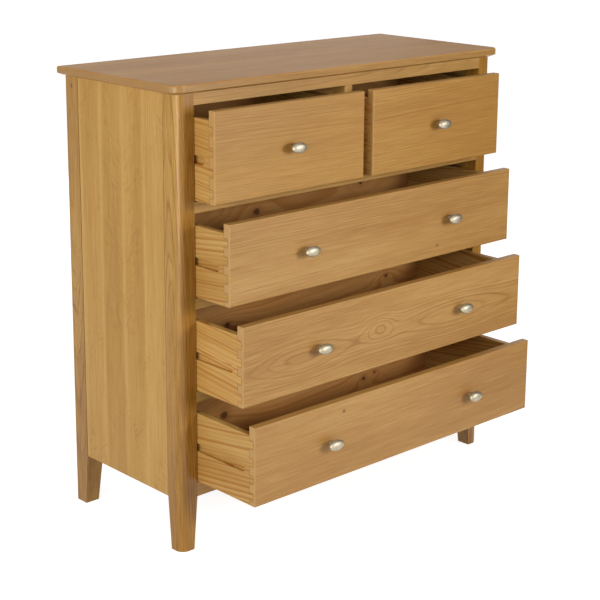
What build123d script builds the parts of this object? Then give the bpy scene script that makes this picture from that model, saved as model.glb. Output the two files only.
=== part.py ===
"""Oak chest with two small drawers over three wide ones, standing with its drawers drawn out.

Sizes are in millimetres. X runs to the right along the front, Y to the back and Z up.
Pieces are drawn with y = 0 on the front face of the legs, then moved so that the origin is
on the floor under the middle of the space that the chest takes up.
"""

import os

from build123d import *

# Carcass
CARCASS_WIDTH = 955.0  # across the outer faces of the legs
CARCASS_DEPTH = 384.0  # front of the front legs to the back of the rear legs
FLOOR_CLEARANCE = 118.0  # floor to the underside of the bottom rails and side panels
BOTTOM_RAIL_HEIGHT = 32.0
DRAWER_RAIL_HEIGHT = 24.0
TOP_RAIL_HEIGHT = 25.0
FRONT_RAIL_DEPTH = 40.0
BACK_RAIL_DEPTH = 20.0
RAIL_EDGE_RADIUS = 1.0
TENON_LENGTH = 20.0
TENON_SHOULDER = 5.0

# Legs
LEG = 44.0  # side of the square section
LEG_CORNER_RADIUS = 20.0  # outer corner of each front leg
LEG_EDGE_RADIUS = 1.5
FOOT = 34.5  # side of the section at the floor, after the taper of the two inner faces

# Top
TOP_THICKNESS = 20.0
TOP_SIDE_OVERHANG = 17.5
TOP_FRONT_OVERHANG = 14.0
TOP_BACK_OVERHANG = 5.0
TOP_CORNER_RADIUS = 30.0
TOP_BEVEL_WIDTH = 13.0  # bevel along the underside of the front and the two ends
TOP_BEVEL_HEIGHT = 5.5
TOP_EDGE_RADIUS = 3.0

# Side and back panels
PANEL_THICKNESS = 18.0
PANEL_SETBACK = 0.4  # panel face behind the outer face of the legs
PANEL_REVEAL = 1.5  # open line between a panel and a leg
TONGUE_THICKNESS = 8.0
TONGUE_LENGTH = 10.0
BACK_THICKNESS = 6.0
BACK_REBATE = 8.0
BACK_LIFT = 6.0  # lower edge of the back panel above the underside of the rails

# Centre post and partition between the two small drawers
POST_WIDTH = 22.0
PARTITION_THICKNESS = 18.0

# Drawers
WIDE_FRONT_HEIGHT = 170.5
SMALL_FRONT_HEIGHT = 189.5
FRONT_THICKNESS = 18.0
FRONT_EDGE_RADIUS = 2.0
GAP_SIDE = 2.0
GAP_BELOW = 3.0
GAP_ABOVE = 5.0
GAP_BEHIND = 39.0  # end of a closed drawer to the back of the carcass
SIDE_THICKNESS = 15.0
SIDE_DROP = 19.5  # top of a side below the top of its front
TAIL_COUNT = 4
TAIL_LENGTH = 12.0
TAIL_END_WIDTH = 22.0
TAIL_ROOT_WIDTH = 16.0
TAIL_CORNER_RADIUS = 6.0
BOX_BACK_THICKNESS = 12.0
BOX_BACK_INSET = 20.0  # back board in front of the rear ends of the sides
BOX_BACK_DROP = 6.0
BOX_EDGE_RADIUS = 1.5  # long upper edges of the sides and backs
HOUSING_DEPTH = 4.0
BOTTOM_THICKNESS = 5.0
BOTTOM_LIFT = 8.0
BOTTOM_GROOVE = 6.0

# Distance that each drawer stands out
OPEN_TOP_LEFT = 63.0
OPEN_TOP_RIGHT = 65.0
OPEN_SECOND = 107.0
OPEN_THIRD = 148.0
OPEN_BOTTOM = 184.0

# Runners, fixed to the carcass, in grooves in the drawer sides
GROOVE_HEIGHT = 18.0
GROOVE_DEPTH = 8.0
GROOVE_START = 32.0  # round end of the groove behind the face of the drawer front
RUNNER_STOP = 0.5  # runner end to groove end when the drawer is shut

# Knobs
KNOB_WIDTH = 40.0
KNOB_HEIGHT = 23.0
KNOB_DEPTH = 18.0
KNOB_REACH = 28.0  # front of the knob to the face of the drawer front
STEM_RADIUS = 4.5

# Screws, each with a countersunk head
RUNNER_SCREW_RADIUS = 2.0
RUNNER_SCREW_BITE = 11.0
RUNNER_SCREW_INSET = 90.0  # screws in from the ends of the runner's thick part
PARTITION_SCREW_BITE = 7.0
PARTITION_SCREW_STAGGER = 16.0
TOP_SCREW_RADIUS = 2.5
TOP_SCREW_BITE = 12.0
TOP_SCREW_COUNT = 4
BACK_SCREW_RADIUS = 1.5
BACK_SCREW_BITE = 12.0
BACK_SCREW_COUNT = 5  # one more than the top's, so that the two rows pass each other
KNOB_SCREW_RADIUS = 2.0
KNOB_SCREW_BITE = 11.0
SCREW_HEAD_RATIO = 2.0  # head radius over shank radius

# Clearances
FIT = 0.2  # tenons, tongues and housings
TAIL_FIT = 0.2
RUNNER_FIT = 0.3
RUNNER_DEPTH_FIT = 0.5
SCREW_FIT = 0.1

# Levels and lines that follow from the sizes above
half_width = CARCASS_WIDTH / 2
leg_inside = half_width - LEG
opening_base = FLOOR_CLEARANCE + BOTTOM_RAIL_HEIGHT
wide_pitch = GAP_BELOW + WIDE_FRONT_HEIGHT + GAP_ABOVE + DRAWER_RAIL_HEIGHT
bottom_base, third_base, second_base = [opening_base + GAP_BELOW + n * wide_pitch for n in range(3)]
small_opening_base = opening_base + 3 * wide_pitch
small_base = small_opening_base + GAP_BELOW
top_rail_base = small_base + SMALL_FRONT_HEIGHT + GAP_ABOVE
leg_height = top_rail_base + TOP_RAIL_HEIGHT
panel_face = half_width - PANEL_SETBACK
panel_back = panel_face - PANEL_THICKNESS
back_face = CARCASS_DEPTH - BACK_THICKNESS
small_inside = POST_WIDTH / 2 + GAP_SIDE
wide_outside = leg_inside - GAP_SIDE
knob_offset = (small_inside + wide_outside) / 2
box_depth = CARCASS_DEPTH - GAP_BEHIND
runner_start = GROOVE_START + RUNNER_STOP
front_reach = max(OPEN_TOP_LEFT, OPEN_TOP_RIGHT, OPEN_SECOND, OPEN_THIRD, OPEN_BOTTOM) + KNOB_REACH
origin_y = (CARCASS_DEPTH + TOP_BACK_OVERHANG - front_reach) / 2

# Each drawer: name, left and right ends, underside, front height, distance out
DRAWERS = [
    ("top_left_drawer", -wide_outside, -small_inside, small_base, SMALL_FRONT_HEIGHT, OPEN_TOP_LEFT),
    ("top_right_drawer", small_inside, wide_outside, small_base, SMALL_FRONT_HEIGHT, OPEN_TOP_RIGHT),
    ("second_drawer", -wide_outside, wide_outside, second_base, WIDE_FRONT_HEIGHT, OPEN_SECOND),
    ("third_drawer", -wide_outside, wide_outside, third_base, WIDE_FRONT_HEIGHT, OPEN_THIRD),
    ("bottom_drawer", -wide_outside, wide_outside, bottom_base, WIDE_FRONT_HEIGHT, OPEN_BOTTOM),
]

os.makedirs("parts", exist_ok=True)


def save(name, *solids):
    """Write one node, moved to the part's own origin."""
    moved = [Pos(0, -origin_y, 0) * solid for solid in solids]
    shape = moved[0] if len(moved) == 1 else Compound(children=moved)
    export_step(shape, f"parts/{name}.step")


def block(x, y, z):
    """Box between the low and high values given for each axis."""
    sizes = [high - low for low, high in (x, y, z)]
    middle = [(high + low) / 2 for low, high in (x, y, z)]
    return Pos(*middle) * Box(*sizes)


def grown(span, amount):
    """A low and high value moved apart by an amount at each end."""
    return span[0] - amount, span[1] + amount


def flipped(solid):
    """The same piece on the other side of the chest."""
    return mirror(solid, about=Plane.YZ)


def side_outline(points, x_low, x_high, front_radius=0.0):
    """Solid between two x values from an outline of (y, z) points, with its two front corners rounded."""
    face = make_face(Polyline(*points, close=True))
    if front_radius:
        face = fillet(face.vertices().sort_by(Axis.X)[:2], front_radius)
    plane = Plane(origin=(x_low, 0, 0), x_dir=(0, 1, 0), z_dir=(1, 0, 0))
    return extrude(plane * face, x_high - x_low)


def screw(tip, direction, radius, length, grow=0.0):
    """Countersunk screw, with the middle of its flat head at tip and its point along direction."""
    head = radius * SCREW_HEAD_RATIO
    shank = Cylinder(radius + grow, length + grow, align=(Align.CENTER, Align.CENTER, Align.MIN))
    cone = Cone(head + grow, radius + grow, head - radius, align=(Align.CENTER, Align.CENTER, Align.MIN))
    return Plane(origin=tip, z_dir=direction) * (shank + cone)


def drilled(solid, screws):
    """The piece with a clear hole for each screw given as screw arguments."""
    for place in screws:
        solid -= screw(*place, grow=SCREW_FIT)
    return solid


def tenon_boxes(y, z, grow=0.0):
    """The two tenons on the ends of a rail, or the mortises that they go into."""
    x = (leg_inside - (0.0 if grow else TENON_SHOULDER), leg_inside + TENON_LENGTH + grow)
    tenon = block(x, grown(y, grow - TENON_SHOULDER), grown(z, grow - TENON_SHOULDER))
    return tenon, flipped(tenon)


def rail(y, z):
    """Rail between two legs, with eased long front edges and a tenon on each end."""
    body = block((-leg_inside, leg_inside), y, z)
    front_edges = body.edges().filter_by(Axis.X).sort_by(Axis.Y)[:2]
    body = fillet(front_edges, RAIL_EDGE_RADIUS)
    for tenon in tenon_boxes(y, z):
        body += tenon
    return body


# Front and back rails: name, depth span, height span
front_y = (0.0, FRONT_RAIL_DEPTH)
back_y = (back_face - BACK_RAIL_DEPTH, back_face)
drawer_rail_tops = [base - GAP_BELOW for base in (small_base, second_base, third_base)]
drawer_rail_z = [(top - DRAWER_RAIL_HEIGHT, top) for top in drawer_rail_tops]
top_rail_z = (top_rail_base, leg_height)
bottom_rail_z = (FLOOR_CLEARANCE, opening_base)
FRONT_RAILS = [
    ("top_front_rail", front_y, top_rail_z),
    ("upper_drawer_rail", front_y, drawer_rail_z[0]),
    ("middle_drawer_rail", front_y, drawer_rail_z[1]),
    ("lower_drawer_rail", front_y, drawer_rail_z[2]),
    ("bottom_front_rail", front_y, bottom_rail_z),
]
BACK_RAILS = [
    ("top_back_rail", back_y, top_rail_z),
    ("upper_back_rail", back_y, drawer_rail_z[0]),
    ("bottom_back_rail", back_y, bottom_rail_z),
]

# Screw places, each as tip, direction, radius and length
top_screws = []
for n in range(TOP_SCREW_COUNT):
    screw_x = leg_inside * ((2 * n + 1) / TOP_SCREW_COUNT - 1)
    for span in (front_y, back_y):
        tip = (screw_x, sum(span) / 2, top_rail_base)
        top_screws.append((tip, (0, 0, 1), TOP_SCREW_RADIUS, TOP_RAIL_HEIGHT + TOP_SCREW_BITE))

back_screws = []
for n in range(BACK_SCREW_COUNT):
    screw_x = leg_inside * ((2 * n + 1) / BACK_SCREW_COUNT - 1)
    for name, span, z in BACK_RAILS:
        tip = (screw_x, CARCASS_DEPTH, sum(z) / 2)
        back_screws.append((tip, (0, -1, 0), BACK_SCREW_RADIUS, BACK_THICKNESS + BACK_SCREW_BITE))


def runner_level(base, height):
    """Middle height of the runners for a drawer with this underside and front height."""
    return base + (height - SIDE_DROP) / 2


wide_levels = [runner_level(base, WIDE_FRONT_HEIGHT) for base in (bottom_base, third_base, second_base)]
small_level = runner_level(small_base, SMALL_FRONT_HEIGHT)
side_levels = wide_levels + [small_level]

# Right-hand runner: its nose reaches in past the leg, and its thick part meets the side panel
runner_nose = wide_outside - GROOVE_DEPTH + RUNNER_DEPTH_FIT
thick_y = (LEG + RUNNER_FIT, CARCASS_DEPTH - LEG - RUNNER_FIT)
side_screws = []
for level in side_levels:
    for screw_y in (thick_y[0] + RUNNER_SCREW_INSET, thick_y[1] - RUNNER_SCREW_INSET):
        length = panel_back - runner_nose + RUNNER_SCREW_BITE
        side_screws.append(((runner_nose, screw_y, level), (1, 0, 0), RUNNER_SCREW_RADIUS, length))

# Right-hand centre runner, on the partition
centre_nose = small_inside + GROOVE_DEPTH - RUNNER_DEPTH_FIT
centre_screws = {}
for side in (1, -1):
    centre_screws[side] = []
    for screw_y in (thick_y[0] + RUNNER_SCREW_INSET, thick_y[1] - RUNNER_SCREW_INSET):
        tip = (side * centre_nose, screw_y + side * PARTITION_SCREW_STAGGER / 2, small_level)
        length = centre_nose - PARTITION_THICKNESS / 2 + PARTITION_SCREW_BITE
        centre_screws[side].append((tip, (-side, 0, 0), RUNNER_SCREW_RADIUS, length))


def make_top():
    """Board with rounded front corners, eased upper edges and a bevel under three edges."""
    x = half_width + TOP_SIDE_OVERHANG
    plan = make_face(
        Polyline(
            (-x, -TOP_FRONT_OVERHANG),
            (x, -TOP_FRONT_OVERHANG),
            (x, CARCASS_DEPTH + TOP_BACK_OVERHANG),
            (-x, CARCASS_DEPTH + TOP_BACK_OVERHANG),
            close=True,
        )
    )
    plan = fillet(plan.vertices().sort_by(Axis.Y)[:2], TOP_CORNER_RADIUS)
    board = extrude(Plane.XY.offset(leg_height) * plan, TOP_THICKNESS)
    underside = board.faces().sort_by(Axis.Z)[0]
    back = underside.edges().sort_by(Axis.Y)[-1]
    bevelled = [edge for edge in underside.edges() if edge.center().Y < back.center().Y - 1]
    board = chamfer(bevelled, TOP_BEVEL_WIDTH, TOP_BEVEL_HEIGHT, reference=underside)
    board = fillet(board.faces().sort_by(Axis.Z)[-1].edges(), TOP_EDGE_RADIUS)
    return drilled(board, top_screws)


def make_leg(at_back):
    """Right-hand leg: tapered foot, rounded or square outer corner, mortises and panel groove."""
    x = (leg_inside, half_width)
    y = (CARCASS_DEPTH - LEG, CARCASS_DEPTH) if at_back else (0.0, LEG)
    inner_y, foot_y = (y[0], y[1] - FOOT) if at_back else (y[1], y[0] + FOOT)
    leg = block(x, y, (0, leg_height))
    outer_edges = leg.edges().filter_by(Axis.Z).sort_by(Axis.X)[2:].sort_by(Axis.Y)
    if at_back:
        leg = fillet(outer_edges[-1], LEG_EDGE_RADIUS)
    else:
        leg = fillet(outer_edges[0], LEG_CORNER_RADIUS)
    taper_x = make_face(
        Polyline((leg_inside, 0), (half_width - FOOT, 0), (leg_inside, FLOOR_CLEARANCE), close=True)
    )
    leg -= extrude(Plane.XZ.offset(-y[1]) * taper_x, LEG)
    leg -= side_outline([(inner_y, 0), (foot_y, 0), (inner_y, FLOOR_CLEARANCE)], *x)
    for name, span, z in BACK_RAILS if at_back else FRONT_RAILS:
        leg -= tenon_boxes(span, z, grow=FIT)[0]
    groove_y = (inner_y, inner_y + TONGUE_LENGTH) if at_back else (inner_y - TONGUE_LENGTH, inner_y)
    middle = (panel_face + panel_back) / 2
    groove_x = grown((middle, middle), TONGUE_THICKNESS / 2 + FIT)
    leg -= block(groove_x, groove_y, (FLOOR_CLEARANCE, leg_height))
    if at_back:
        rebate_x = (leg_inside, leg_inside + BACK_REBATE + FIT)
        leg -= block(rebate_x, (back_face, CARCASS_DEPTH), (FLOOR_CLEARANCE + BACK_LIFT - FIT, leg_height))
    return leg


def make_side_panel():
    """Right-hand flat panel, with a tongue along each upright edge."""
    z = (FLOOR_CLEARANCE, leg_height)
    panel = block((panel_back, panel_face), (LEG + PANEL_REVEAL, CARCASS_DEPTH - LEG - PANEL_REVEAL), z)
    middle = (panel_face + panel_back) / 2
    tongue_y = grown((LEG, CARCASS_DEPTH - LEG), TONGUE_LENGTH - FIT)
    panel += block(grown((middle, middle), TONGUE_THICKNESS / 2), tongue_y, z)
    return drilled(panel, side_screws)


def make_back_panel():
    """Thin board let into the rebates of the rear legs."""
    x = leg_inside + BACK_REBATE
    board = block((-x, x), (back_face, CARCASS_DEPTH), (FLOOR_CLEARANCE + BACK_LIFT, leg_height))
    return drilled(board, back_screws)


def post_tenons(grow=0.0):
    """Stub tenons on the ends of the centre post, or the mortises that they go into."""
    half = POST_WIDTH / 2 - TENON_SHOULDER + grow
    y = grown(front_y, grow - 2 * TENON_SHOULDER)
    reach = 2 * TENON_SHOULDER + grow
    return block((-half, half), y, (small_opening_base - reach, top_rail_base + reach))


def make_post():
    """Upright between the small drawers, grooved at the back for the partition."""
    z = (small_opening_base, top_rail_base)
    post = block((-POST_WIDTH / 2, POST_WIDTH / 2), front_y, z)
    front_edges = post.edges().filter_by(Axis.Z).sort_by(Axis.Y)[:2]
    post = fillet(front_edges, RAIL_EDGE_RADIUS) + post_tenons()
    groove_x = grown((0.0, 0.0), TONGUE_THICKNESS / 2 + FIT)
    return post - block(groove_x, (FRONT_RAIL_DEPTH - TONGUE_LENGTH, FRONT_RAIL_DEPTH), z)


def make_partition():
    """Upright board behind the centre post, standing on the upper back rail."""
    z = (small_opening_base, top_rail_base)
    half = PARTITION_THICKNESS / 2
    board = block((-half, half), (FRONT_RAIL_DEPTH, back_face), z)
    tongue = TONGUE_THICKNESS / 2
    board += block((-tongue, tongue), (FRONT_RAIL_DEPTH - TONGUE_LENGTH + FIT, FRONT_RAIL_DEPTH + FIT), z)
    return drilled(board, centre_screws[1] + centre_screws[-1])


def runner_bar(x, level, y_end):
    """Straight bar with a round front end that fits in the groove of a drawer side."""
    half = GROOVE_HEIGHT / 2 - RUNNER_FIT
    bar = block(x, (runner_start + half, y_end), (level - half, level + half))
    nose = Rot(0, 90, 0) * Cylinder(half, x[1] - x[0])
    return bar + Pos((x[0] + x[1]) / 2, runner_start + half, level) * nose


def make_side_runner(level):
    """Right-hand runner, thick between the legs and thin where it passes them."""
    half = GROOVE_HEIGHT / 2 - RUNNER_FIT
    bar = runner_bar((runner_nose, leg_inside), level, back_face)
    bar += block((leg_inside - RUNNER_FIT, panel_back), thick_y, (level - half, level + half))
    return drilled(bar, [place for place in side_screws if place[0][2] == level])


def make_centre_runner(side):
    """Runner on one face of the partition."""
    bar = runner_bar((PARTITION_THICKNESS / 2, centre_nose), small_level, back_face)
    bar -= block((0, POST_WIDTH / 2), front_y, (small_opening_base, top_rail_base))
    bar = bar if side > 0 else flipped(bar)
    return drilled(bar, centre_screws[side])


def tail_levels(base, height):
    """Middle heights of the dovetails on one drawer corner."""
    pitch = (height - SIDE_DROP) / TAIL_COUNT
    return [base + pitch * (n + 0.5) for n in range(TAIL_COUNT)]


def make_tail(x, face_y, level, grow=0.0):
    """Dovetail with rounded outer corners, or the socket that it goes into."""
    root_y = face_y + FRONT_THICKNESS + TAIL_FIT
    end_y = root_y - TAIL_FIT - TAIL_LENGTH - grow
    root = TAIL_ROOT_WIDTH / 2 + grow
    end = TAIL_END_WIDTH / 2 + grow
    points = [(root_y, level - root), (end_y, level - end), (end_y, level + end), (root_y, level + root)]
    return side_outline(points, *x, front_radius=TAIL_CORNER_RADIUS)


def make_drawer_front(left, right, base, height, face_y, knobs):
    """Front board with dovetail sockets in its ends, a groove for the bottom and knob holes."""
    back_y = face_y + FRONT_THICKNESS
    board = block((left, right), (face_y, back_y), (base, base + height))
    board = fillet(board.faces().sort_by(Axis.Y)[0].edges(), FRONT_EDGE_RADIUS)
    for level in tail_levels(base, height):
        for x in ((left, left + SIDE_THICKNESS + TAIL_FIT), (right - SIDE_THICKNESS - TAIL_FIT, right)):
            board -= make_tail(x, face_y, level, grow=TAIL_FIT)
    inset = SIDE_THICKNESS - BOTTOM_GROOVE
    slot_z = grown((base + BOTTOM_LIFT, base + BOTTOM_LIFT + BOTTOM_THICKNESS), FIT)
    board -= block((left + inset, right - inset), (back_y - BOTTOM_GROOVE, back_y), slot_z)
    return drilled(board, knob_screw_places(base, height, face_y, knobs))


def make_drawer_side(outer, inward, base, height, face_y):
    """Side board, from its outer face inwards, with dovetails and its three grooves."""
    top = base + height - SIDE_DROP
    end_y = face_y + box_depth
    start_y = face_y + FRONT_THICKNESS

    def across(low, high):
        """Span between two depths measured inwards from the outer face."""
        return tuple(sorted((outer + inward * low, outer + inward * high)))

    side = block(across(0, SIDE_THICKNESS), (start_y, end_y), (base, top))
    side = fillet(side.edges().filter_by(Axis.Y).sort_by(Axis.Z)[-2:], BOX_EDGE_RADIUS)
    for level in tail_levels(base, height):
        side += make_tail(across(0, SIDE_THICKNESS), face_y, level)
    slot_z = grown((base + BOTTOM_LIFT, base + BOTTOM_LIFT + BOTTOM_THICKNESS), FIT)
    slot_y = (start_y - BOTTOM_GROOVE, end_y)
    side -= block(across(SIDE_THICKNESS - BOTTOM_GROOVE, SIDE_THICKNESS), slot_y, slot_z)
    half = GROOVE_HEIGHT / 2
    level = runner_level(base, height)
    groove_x = across(0, GROOVE_DEPTH)
    groove_y = face_y + GROOVE_START + half
    side -= block(groove_x, (groove_y, end_y), (level - half, level + half))
    side -= Pos(sum(groove_x) / 2, groove_y, level) * Rot(0, 90, 0) * Cylinder(half, GROOVE_DEPTH)
    housing_y = grown(box_back_span(face_y), FIT)
    housing_z = (base + BOTTOM_LIFT, top)
    side -= block(across(SIDE_THICKNESS - HOUSING_DEPTH, SIDE_THICKNESS), housing_y, housing_z)
    return side


def box_back_span(face_y):
    """Front and rear faces of a drawer's back board."""
    rear = face_y + box_depth - BOX_BACK_INSET
    return rear - BOX_BACK_THICKNESS, rear


def make_drawer_back(left, right, base, height, face_y):
    """Back board, housed in the sides and standing on the bottom."""
    inset = SIDE_THICKNESS - HOUSING_DEPTH + FIT
    z = (base + BOTTOM_LIFT + BOTTOM_THICKNESS, base + height - SIDE_DROP - BOX_BACK_DROP)
    board = block((left + inset, right - inset), box_back_span(face_y), z)
    return fillet(board.edges().filter_by(Axis.X).sort_by(Axis.Z)[-2:], BOX_EDGE_RADIUS)


def make_drawer_bottom(left, right, base, face_y):
    """Thin board that slides into the grooves from the back."""
    inset = SIDE_THICKNESS - BOTTOM_GROOVE + FIT
    y = (face_y + FRONT_THICKNESS - BOTTOM_GROOVE + FIT, face_y + box_depth)
    z = (base + BOTTOM_LIFT, base + BOTTOM_LIFT + BOTTOM_THICKNESS)
    return block((left + inset, right - inset), y, z)


def knob_screw_places(base, height, face_y, knobs):
    """Screws through the drawer front into each knob, from inside the drawer."""
    length = FRONT_THICKNESS + KNOB_SCREW_BITE
    level = base + height / 2
    return [((x, face_y + FRONT_THICKNESS, level), (0, -1, 0), KNOB_SCREW_RADIUS, length) for x in knobs]


def make_knob(x, base, height, face_y):
    """Oval knob on a round stem against the drawer front."""
    level = base + height / 2
    head = Pos(0, 0, KNOB_REACH - KNOB_DEPTH / 2) * scale(
        Sphere(1.0), by=(KNOB_WIDTH / 2, KNOB_HEIGHT / 2, KNOB_DEPTH / 2)
    )
    up = (Align.CENTER, Align.CENTER, Align.MIN)
    stem = Cylinder(STEM_RADIUS, KNOB_REACH - KNOB_DEPTH / 2, align=up)
    knob = Plane(origin=(x, face_y, level), x_dir=(1, 0, 0), z_dir=(0, -1, 0)) * (head + stem)
    return drilled(knob, knob_screw_places(base, height, face_y, [x]))


def save_carcass():
    """Write every piece that stands still."""
    save("top_panel", make_top())
    for row, at_back in (("front", False), ("back", True)):
        leg = make_leg(at_back)
        save(f"{row}_right_leg", leg)
        save(f"{row}_left_leg", flipped(leg))
    panel = make_side_panel()
    save("right_side_panel", panel)
    save("left_side_panel", flipped(panel))
    save("back_panel", make_back_panel())
    for name, y, z in FRONT_RAILS + BACK_RAILS:
        board = rail(y, z)
        if name in ("top_front_rail", "top_back_rail"):
            board = drilled(board, [place for place in top_screws if y[0] < place[0][1] < y[1]])
        if name in ("top_front_rail", "upper_drawer_rail"):
            board -= post_tenons(grow=FIT)
        if y == back_y:
            board = drilled(board, [place for place in back_screws if z[0] < place[0][2] < z[1]])
        save(name, board)
    save("centre_post", make_post())
    save("centre_partition", make_partition())
    runners = [make_side_runner(level) for level in side_levels]
    save("right_runners", *runners)
    save("left_runners", *[flipped(runner) for runner in runners])
    save("centre_runners", make_centre_runner(1), make_centre_runner(-1))
    right_screws = [screw(*place) for place in side_screws]
    left_screws = [flipped(solid) for solid in right_screws]
    middle_screws = [screw(*place) for side in (1, -1) for place in centre_screws[side]]
    save("runner_screws", *right_screws, *left_screws, *middle_screws)
    save("top_screws", *[screw(*place) for place in top_screws])
    save("back_panel_screws", *[screw(*place) for place in back_screws])


def save_drawer(name, left, right, base, height, out):
    """Write every piece of one drawer, standing out by its own distance."""
    face_y = -out
    knobs = [x for x in (-knob_offset, knob_offset) if left < x < right]
    save(f"{name}_front", make_drawer_front(left, right, base, height, face_y, knobs))
    save(f"{name}_left_side", make_drawer_side(left, 1, base, height, face_y))
    save(f"{name}_right_side", make_drawer_side(right, -1, base, height, face_y))
    save(f"{name}_back", make_drawer_back(left, right, base, height, face_y))
    save(f"{name}_bottom", make_drawer_bottom(left, right, base, face_y))
    knob_node = f"{name}_knob" if len(knobs) == 1 else f"{name}_knobs"
    save(knob_node, *[make_knob(x, base, height, face_y) for x in knobs])
    places = knob_screw_places(base, height, face_y, knobs)
    save(f"{name}_knob_screws", *[screw(*place) for place in places])


save_carcass()
for drawer in DRAWERS:
    save_drawer(*drawer)
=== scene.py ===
"""Oak chest of drawers: finishes, knobs, floor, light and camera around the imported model.

All lengths are in metres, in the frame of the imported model: X runs to the right along the front,
Y to the back and Z up. A board's pattern is worked out in its own axes, with X along the grain.
"""

import math

import bpy
import numpy as np
from mathutils import Euler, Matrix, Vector


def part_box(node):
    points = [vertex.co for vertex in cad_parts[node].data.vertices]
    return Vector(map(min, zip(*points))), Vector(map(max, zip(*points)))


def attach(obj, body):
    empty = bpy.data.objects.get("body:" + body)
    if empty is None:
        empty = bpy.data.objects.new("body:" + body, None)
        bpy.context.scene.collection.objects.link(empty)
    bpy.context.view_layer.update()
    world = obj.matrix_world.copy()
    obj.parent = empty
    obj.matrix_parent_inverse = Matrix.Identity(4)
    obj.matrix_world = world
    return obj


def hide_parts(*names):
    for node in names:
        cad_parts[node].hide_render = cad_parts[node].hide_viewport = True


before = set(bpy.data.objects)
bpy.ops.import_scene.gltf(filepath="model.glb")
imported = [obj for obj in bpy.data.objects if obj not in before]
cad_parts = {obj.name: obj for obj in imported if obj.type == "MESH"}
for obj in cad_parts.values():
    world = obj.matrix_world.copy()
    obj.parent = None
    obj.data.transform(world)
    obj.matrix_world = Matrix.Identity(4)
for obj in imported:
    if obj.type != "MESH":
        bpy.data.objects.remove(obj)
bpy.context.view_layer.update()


# Turn that brings a board's grain onto X, by the axis that the grain runs along
GRAIN_TURN = {"X": (0.0, 0.0, 0.0), "Y": (0.0, 0.0, -math.pi / 2), "Z": (0.0, math.pi / 2, 0.0)}


def shade(red, green, blue, depth=1.0):
    """Linear colour of a finish given by its 0 to 255 display values, darkened or lightened by depth."""
    display = np.array([red, green, blue]) / 255.0
    linear = np.where(display <= 0.04045, display / 12.92, ((display + 0.055) / 1.055) ** 2.4)
    return (*np.clip(linear * depth, 0.0, 1.0), 1.0)


class Wiring:
    """Adds nodes to one node tree; a number, a tuple or a socket may feed any input."""

    def __init__(self, tree):
        self.tree = tree

    def node(self, kind, **settings):
        """New node with the given settings."""
        made = self.tree.nodes.new(kind)
        for key, value in settings.items():
            setattr(made, key, value)
        return made

    def feed(self, socket, value):
        """Link a socket to an input, or set the input to a value."""
        if isinstance(value, bpy.types.NodeSocket):
            self.tree.links.new(value, socket)
        else:
            socket.default_value = value

    def maths(self, operation, *values, clamp=False):
        """Result of one operation on numbers, clamped to 0 to 1 if asked."""
        made = self.node("ShaderNodeMath", operation=operation, use_clamp=clamp)
        for socket, value in zip(made.inputs, values):
            self.feed(socket, value)
        return made.outputs[0]

    def total(self, *values):
        """Sum of all values."""
        result = values[0]
        for value in values[1:]:
            result = self.maths("ADD", result, value)
        return result

    def swing(self, value, weight):
        """How far a value from 0 to 1 is from a half, times a weight."""
        return self.maths("MULTIPLY", self.maths("SUBTRACT", value, 0.5), weight)

    def vector(self, operation, *values):
        """Result of one operation on vectors: a number for a length or a dot product, or else a vector."""
        made = self.node("ShaderNodeVectorMath", operation=operation)
        for socket, value in zip(made.inputs, values):
            self.feed(socket, value)
        return made.outputs["Value" if operation in ("LENGTH", "DOT_PRODUCT") else "Vector"]

    def split(self, vector):
        """The three numbers of a vector."""
        made = self.node("ShaderNodeSeparateXYZ")
        self.feed(made.inputs[0], vector)
        return made.outputs

    def joined(self, x, y, z):
        """Vector of three numbers."""
        made = self.node("ShaderNodeCombineXYZ")
        for socket, value in zip(made.inputs, (x, y, z)):
            self.feed(socket, value)
        return made.outputs[0]

    def noise(self, vector, stretch, detail):
        """Smooth noise with its own frequency along each axis; returns the node."""
        made = self.node("ShaderNodeTexNoise", noise_dimensions="3D")
        self.feed(made.inputs["Vector"], self.vector("MULTIPLY", vector, stretch))
        made.inputs["Scale"].default_value = 1.0
        made.inputs["Detail"].default_value = detail
        return made

    def line_noise(self, position):
        """Smooth noise along one number."""
        made = self.node("ShaderNodeTexNoise", noise_dimensions="1D")
        self.feed(made.inputs["W"], position)
        made.inputs["Scale"].default_value = 1.0
        made.inputs["Detail"].default_value = 1.0
        return made.outputs[0]

    def dice(self, position):
        """A random number from 0 to 1 for each whole number."""
        made = self.node("ShaderNodeTexWhiteNoise", noise_dimensions="1D")
        self.feed(made.inputs["W"], position)
        return made.outputs["Value"]

    def span(self, value, low, high, start=0.0, end=1.0):
        """Smooth step from start to end while value goes from low to high."""
        made = self.node("ShaderNodeMapRange", interpolation_type="SMOOTHSTEP", clamp=True)
        for socket, number in zip(made.inputs, (value, low, high, start, end)):
            self.feed(socket, number)
        return made.outputs[0]

    def ramp(self, factor, *stops):
        """Colour ramp through (place, colour) stops."""
        made = self.node("ShaderNodeValToRGB")
        bar = made.color_ramp
        while len(bar.elements) < len(stops):
            bar.elements.new(1.0)
        for element, (place, colour) in zip(bar.elements, stops):
            element.position = place
            element.color = colour
        self.feed(made.inputs[0], factor)
        return made.outputs[0]

    def mix(self, factor, first, second, blend="MIX"):
        """First colour, blended with the second by a factor."""
        made = self.node("ShaderNodeMix", data_type="RGBA", blend_type=blend)
        for socket, value in zip((made.inputs[0], made.inputs[6], made.inputs[7]), (factor, first, second)):
            self.feed(socket, value)
        return made.outputs[2]

    def place(self, group, **values):
        """Node group in this tree, with its named inputs fed."""
        made = self.node("ShaderNodeGroup", node_tree=group)
        for label, value in values.items():
            self.feed(made.inputs[label.replace("_", " ")], value)
        return made.outputs


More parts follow.
